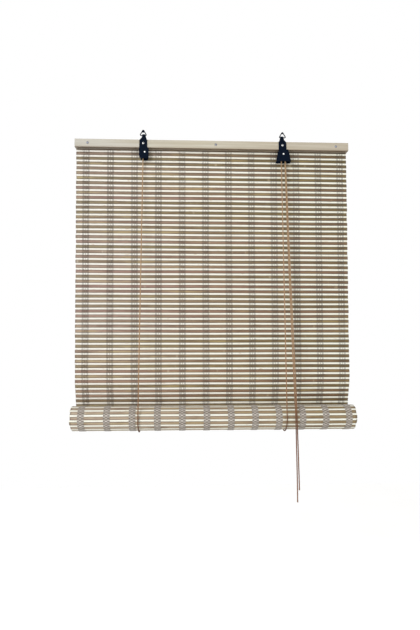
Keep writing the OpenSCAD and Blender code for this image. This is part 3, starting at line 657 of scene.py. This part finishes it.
def liftCord(label, x, topX, grooveY):
    # from the pulley straight down to the roll, round under it, and up to a knot behind the headrail
    node, across = label + "_cord_", (1, 0, 0)
    top, knot = (topX, grooveY, axleZ), (x, knotY, knotZ)
    front = touchAngle(grooveY, axleZ, 1) - 2 * math.pi
    back = touchAngle(knotY, knotZ, -1)
    foot, heel = onSling(x, front), onSling(x, back)
    run = cordTube(label + "FrontCord", line(top, foot), across, body="headrail", nodes=[node + "front"])
    shorten(run)
    steps = int(slingRadius * (back - front) / cords["step"])
    under = onSling(x, np.linspace(front, back, steps))
    cordTube(label + "Sling", under, across, body="slings", nodes=[node + "sling"])
    run = cordTube(label + "BackCord", line(knot, heel), across, body="headrail", nodes=[node + "back"])
    shorten(run)
    addKnot(label + "Knot", knot)


liftCord("left", leftSlingX, leftWheelX - cords["wrapRadius"], rearGroove)
liftCord("right", rightSlingX, rightSlingX, frontGroove)

# the left cord's cross run, in the groove under the headrail, and the right cord's way over its pulley
crossZ = railBottom + cords["grooveDepth"] - cordRadius - cords["gap"]
leave = onWheel(leftWheelX, rearGroove, np.linspace(180, 90 + cords["slope"], cords["wrapSteps"]))
meet = onWheel(rightWheelX, rearGroove, np.linspace(90 - cords["slope"], 0, cords["wrapSteps"]))
rise = crossZ - leave[-1, 2]
run = rise / math.tan(math.radians(cords["slope"]))
bendLeft, bendRight = leave[-1] + (run, 0, rise), meet[0] + (-run, 0, rise)
crossPath = np.concatenate([leave, line(leave[-1], bendLeft)[1:-1], line(bendLeft, bendRight),
                            line(bendRight, meet[0])[1:-1], meet])
overPath = onWheel(rightWheelX, frontGroove, np.linspace(180, 0, 2 * cords["wrapSteps"]))
guided = dict(swell=cords["guidedSwell"], body="headrail")
cordTube("crossCord", crossPath, (0, 1, 0), nodes=["cross_cord"], **guided)
cordTube("lockWrap", overPath, (0, 1, 0), nodes=["right_cord_wrap"], **guided)

# pull cords: the routes of the solids, in millimetres, and where they part and stretch, in metres
pulls = dict(
    long=[[159.9, 7.8, -48], [160.8, 4.2, -110], [162.4, -2.8, -240], [165, -10.8, -380],
          [167.2, -18.6, -500], [169.2, -25.4, -601], [169.6, -27.6, -626.8], [169.8, -27.8, -642],
          [170.2, -27.8, -667], [170.6, -27.6, -697], [171, -27.4, -727],
          [171.4, -27.2, -762], [171.6, -27, -802]],
    short=[[159.9, 4.5, -48], [161.8, 1.2, -110], [164.2, -5.6, -240], [167.2, -13, -380],
           [170, -19.8, -500], [172, -25.6, -601], [172.2, -27.6, -626.8], [172.6, -27.8, -642],
           [173.2, -27.8, -667], [174, -27.6, -697], [174.6, -27.4, -727],
           [175.2, -27.2, -752], [175.6, -27, -777]])
joinZ, stretchTop, stretchEnd = -0.6268, -0.652, -0.747

for label, points in pulls.items():
    route = smoothRoute(np.array(points) / 1000, cords["step"])
    cut = int(np.argmin(np.abs(route[:, 2] - joinZ)))
    upper, lower = route[:cut + 1], route[cut:]
    run = cordTube(label + "PullUpper", upper, (1, 0, 0), body="headrail", nodes=[label + "_pull_upper"])
    shorten(run)
    end = cordTube(label + "PullLower", lower, (1, 0, 0), frayed=True, nodes=[label + "_pull_lower"])
    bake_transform(end)
print("cords: two lift cords, one cross cord, two pull cords")

# hardware finishes
paintFinish = dict(
    speck=dict(stretch=(500, 500, 500), noise=(4, 0.7, 0.0)), dark=(2, 10, 22), light=(9, 22, 40),
    worn=(0.54, 0.62, 0.4), wornColour=(84, 92, 104), roughness=(0.42, 0.6), specular=0.05,
    bump=(0.12, 0.0002))
paint, tree, shader = newMaterial("bracketPaint")
speck = streaks(tree, paintFinish["speck"])
colour = twoTone(tree, speck, paintFinish["dark"], paintFinish["light"])
worn = mask(tree, put(tree, "NewGeometry").outputs["Pointiness"], *paintFinish["worn"])
colour = mixed(tree, worn, colour, tint(*paintFinish["wornColour"]))
roughness = greys(tree, speck, noiseSpan, *paintFinish["roughness"])
finished(tree, shader, colour, roughness, speck, paintFinish["bump"])
shader.inputs["Specular IOR Level"].default_value = paintFinish["specular"]

# tarnish and rimColour: painted shade on faces turned from the front and round a rivet's rim
steel = dict(noise=(4, 0.65, 0.0), even=(700, 700, 700), turnedAt=(-0.85, -0.45), tarnishShare=0.8,
             tarnish=(70, 72, 76), rim=(0.0014, 0.0022, 0.9), rimColour=(30, 36, 48), bump=(0.1, 0.0001))
zinc = dict(dull=(196, 196, 194), bright=(238, 238, 236), roughness=(0.4, 0.2))


def steelFinish(name, dull, bright, roughness, stretch=steel["even"], turnedAt=steel["turnedAt"],
                middle=None):
    m, tree, shader = newMaterial(name)
    scuff = streaks(tree, dict(stretch=stretch, noise=steel["noise"]))
    turned = ranged(tree, normalAxis(tree, "Y"), *turnedAt, steel["tarnishShare"])
    colour = twoTone(tree, scuff, dull, bright)
    colour = mixed(tree, turned, colour, tint(*steel["tarnish"]))  # painted shade round the sides, where the surface turns from the front
    if middle:  # and painted shade round the rim of a riveted head
        away = put(tree, "VectorMath", {0: stretched(tree, (1, 0, 1)), 1: (middle[0], 0, middle[1])},
                   operation="DISTANCE").outputs["Value"]
        colour = mixed(tree, ranged(tree, away, *steel["rim"]), colour, tint(*steel["rimColour"]))
    finished(tree, shader, colour, greys(tree, scuff, noiseSpan, *roughness), scuff, steel["bump"])
    shader.inputs["Metallic"].default_value = 1.0
    return m


zincSteel = steelFinish("zincSteel", **zinc)
headSteel = steelFinish("headSteel", turnedAt=(-0.97, -0.8), **zinc)
dullSteel = steelFinish("dullSteel", (118, 120, 130), (170, 172, 182), (0.5, 0.25))
rollerSteel = steelFinish("rollerSteel", (120, 118, 114), (176, 174, 170), (0.55, 0.3), (900, 60, 900))

nylonFinish = dict(scuff=dict(stretch=(600, 600, 600), noise=(3, 0.6, 0.0)), dark=(52, 50, 48),
                   light=(78, 74, 70), roughness=0.5, bump=(0.1, 0.0002))
nylon, tree, shader = newMaterial("pulleyNylon")
scuff = streaks(tree, nylonFinish["scuff"])
colour = twoTone(tree, scuff, nylonFinish["dark"], nylonFinish["light"])
finished(tree, shader, colour, nylonFinish["roughness"], scuff, nylonFinish["bump"])

battens = dict(
    grain=dict(stretch=(4, 420, 260), noise=(6, 0.66, 0.5)), grainSpan=(0.3, 0.62),
    figure=dict(stretch=(3, 60, 40), noise=(2, 0.5, 1.2), mask=(0.42, 0.66, 0.45)), below=(-0.5, -0.9, 0.85),
    fromLeft=((0.0, 0.93, 0.96, 1.0), (0.5, 1.0, 1.0, 0.96), (1.0, 0.89, 0.85, 0.80)),
    roughness=0.48, bump=(0.2, 0.0002))


def battenFinish(name, dark, light, figure, under):  # pale wood: long fine grain, faint broad figure
    m, tree, shader = newMaterial(name)
    grain = streaks(tree, battens["grain"])
    colour = twoTone(tree, grain, dark, light, battens["grainSpan"])
    colour = spotted(tree, colour, dict(battens["figure"], colour=figure))
    below = ranged(tree, normalAxis(tree, "Z"), *battens["below"])
    colour = mixed(tree, below, colour, tint(*under))  # painted shade on the underside
    # painted shade: darker and warmer towards the right end, a little cooler at the left
    fromLeft = ranged(tree, objectAxis(tree, "X"), matLeft, matRight)
    colour = shaded(tree, colour, fromLeft, battens["fromLeft"])
    finished(tree, shader, colour, battens["roughness"], grain, battens["bump"])
    return m


# the last colour of each is the painted shade on its underside
battenWood = battenFinish("battenWood", (184, 175, 156), (207, 201, 188), (194, 183, 161), (112, 86, 66))
rodWood = battenFinish("rodWood", (178, 156, 122), (212, 194, 160), (166, 140, 106), (150, 128, 98))


def dress(name, material):  # a CAD node keeps its shape and takes a finish
    obj = frame["nodes"][name]
    obj.data.materials.clear()
    obj.data.materials.append(material)


dress("front_batten", battenWood)
dress("back_batten", battenWood)
dress("cord_staples", zincSteel)
dress("lock_roller", rollerSteel)
for label in ("left", "right"):
    wheel = joints[label + "_pulley_turn"]["pos_m"]
    dress(label + "_axle", steelFinish(label + "AxleSteel", middle=(wheel[0], wheel[2]), **zinc))
    dress(label + "_pulley", nylon)

# brackets: the solid with its doubled corners joined and its edges rounded off
brackets = dict(weld=1e-6, smoothTo=35, edge=0.00025, edgeFrom=40, edgeSteps=2)

for label in ("left", "right"):
    node = label + "_bracket"
    bm = bmesh.new()
    bm.from_mesh(frame["nodes"][node].data)
    bmesh.ops.remove_doubles(bm, verts=bm.verts, dist=brackets["weld"])
    mesh = bpy.data.meshes.new(label + "Bracket")
    bm.to_mesh(mesh)
    bm.free()
    mesh.materials.clear()
    mesh.materials.append(paint)
    mesh.polygons.foreach_set("material_index", np.zeros(len(mesh.polygons), np.int32))
    mesh.polygons.foreach_set("use_smooth", np.ones(len(mesh.polygons), bool))
    mesh.set_sharp_from_angle(angle=math.radians(brackets["smoothTo"]))
    obj = addObject(label + "Bracket", mesh)
    edge = obj.modifiers.new("edges", "BEVEL")
    edge.width, edge.segments = brackets["edge"], brackets["edgeSteps"]
    edge.limit_method, edge.angle_limit = "ANGLE", math.radians(brackets["edgeFrom"])
    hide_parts(node)
    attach(obj, "headrail")

# hanging rings: wire bent to a triangle with small round corners
hangRing = dict(width=0.015, height=0.013, wire=0.001, corner=0.0014, cornerSteps=10, points=60, sides=14,
                tip=dict(left=0.0052, right=0.0034), tipStart=0.6, tipThick=(0.75, 0.35), tipLeast=0.0002,
                tipRows=12, tipSag=-0.0009)


def ringPath(x, baseZ):  # straight sides joined by an arc at each corner, tangent to both
    w, h, r = hangRing["width"] / 2, hangRing["height"], hangRing["corner"]
    p = np.array([[-w, 0], [w, 0], [0, h]])
    before, after = unit(np.roll(p, 1, 0) - p), unit(np.roll(p, -1, 0) - p)
    half = np.arccos((before * after).sum(1)) / 2
    centre = p + unit(before + after) * (r / np.sin(half))[:, None]
    middle = np.arctan2(*(p - centre).T[::-1])
    a = middle[:, None] + np.linspace(-1, 1, hangRing["cornerSteps"]) * (np.pi / 2 - half)[:, None]
    points = (centre[:, None] + r * np.stack([np.cos(a), np.sin(a)], -1)).reshape(-1, 2)
    points = np.concatenate([points, points[:1]])
    corners = runLength(points)
    at = np.unique(np.concatenate([corners, np.linspace(0, corners[-1], hangRing["points"])]))
    xz = np.stack([np.interp(at, corners, points[:, i]) for i in (0, 1)], -1)
    return np.stack([x + xz[:, 0], np.zeros(len(xz)), baseZ + xz[:, 1]], -1)


for label in ("left", "right"):
    hinge = joints[label + "_ring_swing"]["pos_m"]
    path = ringPath(hinge[0], hinge[2])
    angle = circle(hangRing["sides"]) * np.ones((len(path), 1))
    wire = sweep(path, np.array([0.0, 1.0, 0.0]), angle, np.full(angle.shape, hangRing["wire"]))
    wire[-1] = wire[0] = (wire[0] + wire[-1]) / 2
    addBars(label + "Ring", wire[None], [paint], "ring_steel", body=label + "_hanger",
            nodes=[label + "_ring"])
    # the soldered joint fills the tip: rows of rounded oblongs that widen downwards with the sides
    t = np.linspace(0, 1, hangRing["tipRows"])[:, None]
    drop = hangRing["corner"] * hangRing["tipStart"] + t * hangRing["tip"][label]
    reach = np.maximum(hangRing["tipLeast"], drop * hangRing["width"] / 2 / hangRing["height"])
    thick = hangRing["wire"] * (hangRing["tipThick"][0] - hangRing["tipThick"][1] * t)
    a = circle(hangRing["sides"])
    z = hinge[2] + hangRing["height"] - drop + hangRing["tipSag"] * t * np.cos(a) ** 2
    tip = np.stack([hinge[0] + reach * np.cos(a), thick * np.sin(a), z], -1)
    addBars(label + "RingTip", tip[None], [paint], "ring_steel", body=label + "_hanger")

# screws: a domed head with a cross recess, and a threaded shank behind it
screws = dict(headRadius=0.0027, headHeight=0.0014, dome=1.05, pole=0.0001, rim=0.0001, rimInset=0.98,
              rows=18, sides=48, recessWidth=0.00034, recessSide=0.00015, recessReach=0.0017,
              recessEnd=0.0004, recessDepth=0.0008,
              shankRadius=0.0015, thread=0.0007, threadDepth=0.12, threadSteps=4, tip=0.002, tipRadius=0.15,
              middleShift=0.006)


def screwRings(x, faceY, z, tipY):
    # rows from the head's middle out, round its rim, then along the shank to the tip
    angle, headRadius, shankRadius = circle(screws["sides"]), screws["headRadius"], screws["shankRadius"]
    r = np.linspace(screws["pole"], 1, screws["rows"])[:, None] * headRadius
    dome = screws["headHeight"] * np.sqrt(np.clip(screws["dome"] - (r / headRadius) ** 2, 0, 1))
    narrow = np.minimum(np.abs(r * np.cos(angle)), np.abs(r * np.sin(angle)))
    cut = np.clip((screws["recessWidth"] - narrow) / screws["recessSide"] + 0.5, 0, 1)
    cut = cut * np.clip((screws["recessReach"] - r) / screws["recessEnd"], 0, 1)
    headY = faceY - dome + screws["recessDepth"] * cut
    y = np.arange(faceY, tipY, screws["thread"] / screws["threadSteps"])
    groove = 0.5 + 0.5 * np.cos(2 * np.pi * y / screws["thread"])
    shank = shankRadius * (1 - screws["threadDepth"] * groove)
    shank = shank * np.clip((tipY - y) / screws["tip"], screws["tipRadius"], 1)
    ringR = np.concatenate([[headRadius, headRadius * screws["rimInset"], shankRadius], shank])[:, None]
    ringY = np.concatenate([[faceY - screws["rim"], faceY, faceY], y])[:, None]
    allR = np.concatenate([r, ringR])
    allY = np.concatenate([headY, np.broadcast_to(ringY, (len(ringY), len(angle)))])
    return np.stack([x + allR * np.cos(angle), allY, z + allR * np.sin(angle)], -1)


def screwPlaces(node):  # x of a node's outer screws, then the face, the height and the tips, from its box
    low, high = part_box(node)
    ends = np.array([low[0] + screws["headRadius"], high[0] - screws["headRadius"]])
    return ends, low[1] + screws["headHeight"], (low[2] + high[2]) / 2, high[1]


ends, face, z, tip = screwPlaces("batten_screws")
middle = (railLow[0] + railHigh[0]) / 2 + screws["middleShift"]
heads = np.stack([screwRings(x, face, z, tip) for x in (ends[0], middle, ends[1])])
addBars("battenScrews", heads, [dullSteel], "screw_steel", body="headrail", nodes=["batten_screws"])
for label in ("left", "right"):
    node = label + "_bracket_screw"
    ends, face, z, tip = screwPlaces(node)
    head = screwRings(ends.mean(), face, z, tip)
    addBars(label + "BracketScrew", head[None], [headSteel], "screw_steel", body="headrail", nodes=[node])

# bottom rail: a turned rod with softly rounded ends, in the middle of the roll
rod = dict(endGap=0.0006, sideGap=0.0001, round=0.0012, sides=40, stations=40)
t = np.linspace(0, 1, rod["stations"])
rodX = matLeft + rod["endGap"] + (matWidth - 2 * rod["endGap"]) * (0.5 - 0.5 * np.cos(np.pi * t))
fromEnd = np.minimum(rodX - rodX[0], rodX[-1] - rodX)
inset = rod["round"] * (1 - np.sqrt(np.clip(1 - (1 - np.clip(fromEnd / rod["round"], 0, 1)) ** 2, 0, 1)))
angle = circle(rod["sides"])
rodR = (mat["rodRadius"] - rod["sideGap"] - inset)[:, None]
rodY, rodZ = rollY + rodR * np.cos(angle), rollZ + rodR * np.sin(angle)
rodRings = np.stack(np.broadcast_arrays(rodX[:, None], rodY, rodZ), -1)
addBars("bottomRail", rodRings[None], [rodWood], "rod_wood", body="roll", nodes=["bottom_rail"])
print("hardware: brackets, rings, screws, rod")

# floor, light and background
studio = dict(floorZ=-1.93, floorSize=9, cloud=dict(stretch=(2, 2, 2), noise=(3, 0.5, 0.0)),
              floorDark=(236, 236, 235), floorLight=(242, 242, 241), floorRoughness=0.8, floorGlow=0.6,
              fill=0.4, fillColour=(1, 0.99, 0.97, 1), lampSize=1.8,
              lamps=dict(key=((-1.9, -2.4, 0.35), (-0.05, 0, -0.4), 63),  # place, aim and power
                         side=((1.9, -1.7, -0.2), (0.1, 0, -0.4), 12),
                         back=((1.1, 2.3, 0.3), (0.0, 0, -0.4), 22)))

floorPaint, tree, shader = newMaterial("floorPaint")
cloud = streaks(tree, studio["cloud"])
colour = twoTone(tree, cloud, studio["floorDark"], studio["floorLight"])
feed(tree, shader, {"Base Color": colour, "Roughness": studio["floorRoughness"]})
glow = put(tree, "Emission", {"Color": (1, 1, 1, 1), "Strength": studio["floorGlow"]})
dark = put(tree, "Emission", {"Color": (0, 0, 0, 1), "Strength": 0.0})
pick = put(tree, "MixShader", {0: seenRays(tree), 1: dark.outputs[0], 2: glow.outputs[0]})
both = put(tree, "AddShader", {0: shader.outputs[0], 1: pick.outputs[0]})
tree.links.new(both.outputs[0], tree.nodes["Material Output"].inputs["Surface"])

half = studio["floorSize"] / 2
corners = [(x, y, studio["floorZ"]) for x, y in ((-half, -half), (half, -half), (half, half), (-half, half))]
floorMesh = bpy.data.meshes.new("floor")
floorMesh.from_pydata(corners, [], [(0, 1, 2, 3)])
floorMesh.materials.append(floorPaint)
addObject("floor", floorMesh)

world = bpy.data.worlds.new("studio")
bpy.context.scene.world = world
world.use_nodes = True
tree = world.node_tree
tree.nodes.clear()
fill = put(tree, "Background", {"Color": studio["fillColour"], "Strength": studio["fill"]})
white = put(tree, "Background", {"Color": (1, 1, 1, 1), "Strength": 1.0})
pick = put(tree, "MixShader", {0: seenRays(tree), 1: fill.outputs[0], 2: white.outputs[0]})
put(tree, "OutputWorld", {"Surface": pick.outputs[0]})

for name, (place, aim, power) in studio["lamps"].items():
    data = bpy.data.lights.new(name, "AREA")
    data.shape, data.size, data.energy = "SQUARE", studio["lampSize"], power
    lamp = addObject(name, data)
    lamp.location = place
    lamp.rotation_euler = (Vector(aim) - Vector(place)).to_track_quat("-Z", "Y").to_euler()
bpy.context.scene.view_settings.view_transform = "Standard"
print("studio set")
